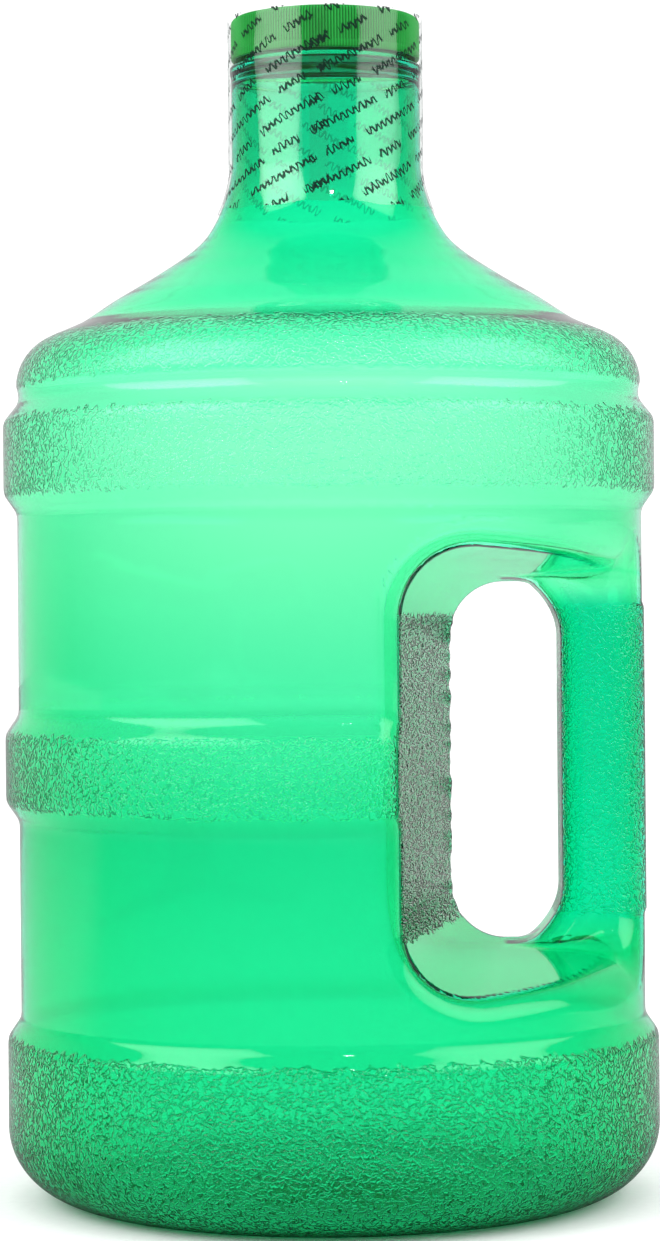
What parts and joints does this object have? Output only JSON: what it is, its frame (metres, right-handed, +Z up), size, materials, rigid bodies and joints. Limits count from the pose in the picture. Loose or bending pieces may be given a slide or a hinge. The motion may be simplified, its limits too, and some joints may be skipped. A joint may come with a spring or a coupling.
{
  "type": "water jug",
  "caption": "Blow-moulded translucent water jug with grained raised bands, a moulded-through grip, a ribbed screw cap with foam liner and a clear shrink sleeve over cap and neck.",
  "frame": {"origin": "centre of the ring that the jug stands on, on the jug's axis", "axes": "+Z up along the jug's axis, +X from the axis to the grip, the parting plane is Y = 0"},
  "size_m": [0.1662, 0.1662, 0.3],
  "materials": {
    "jug_plastic": "clear green, glossy, with grained bands",
    "cap_plastic": "opaque green, satin, fine vertical ribs",
    "liner_foam": "white foamed polyethylene",
    "sleeve_film": "clear shrink film with dark slanted marks"
  },
  "bodies": {
    "jug": {"jug_shell": "jug_plastic"},
    "sleeve": {"shrink_sleeve": "sleeve_film"},
    "liner": {"cap_liner": "liner_foam"},
    "cap": {"screw_cap": "cap_plastic"}
  },
  "joints": [
    {"name": "sleeve_pull_off", "type": "slide", "parent": "jug", "child": "sleeve", "axis": [0, 0, 1], "range_m": [0, 0.053]},
    {"name": "cap_rise", "type": "slide", "parent": "jug", "child": "liner", "axis": [0, 0, 1], "range_m": [0, 0.01271]},
    {"name": "cap_twist", "type": "hinge", "parent": "liner", "child": "cap", "pos_m": [0, 0, 0.295], "axis": [0, 0, 1], "range_deg": [0, 1080]}
  ],
  "couplings": [
    {"joint": "cap_rise", "follows": "cap_twist", "m_per_rad": 0.00067375}
  ]
}
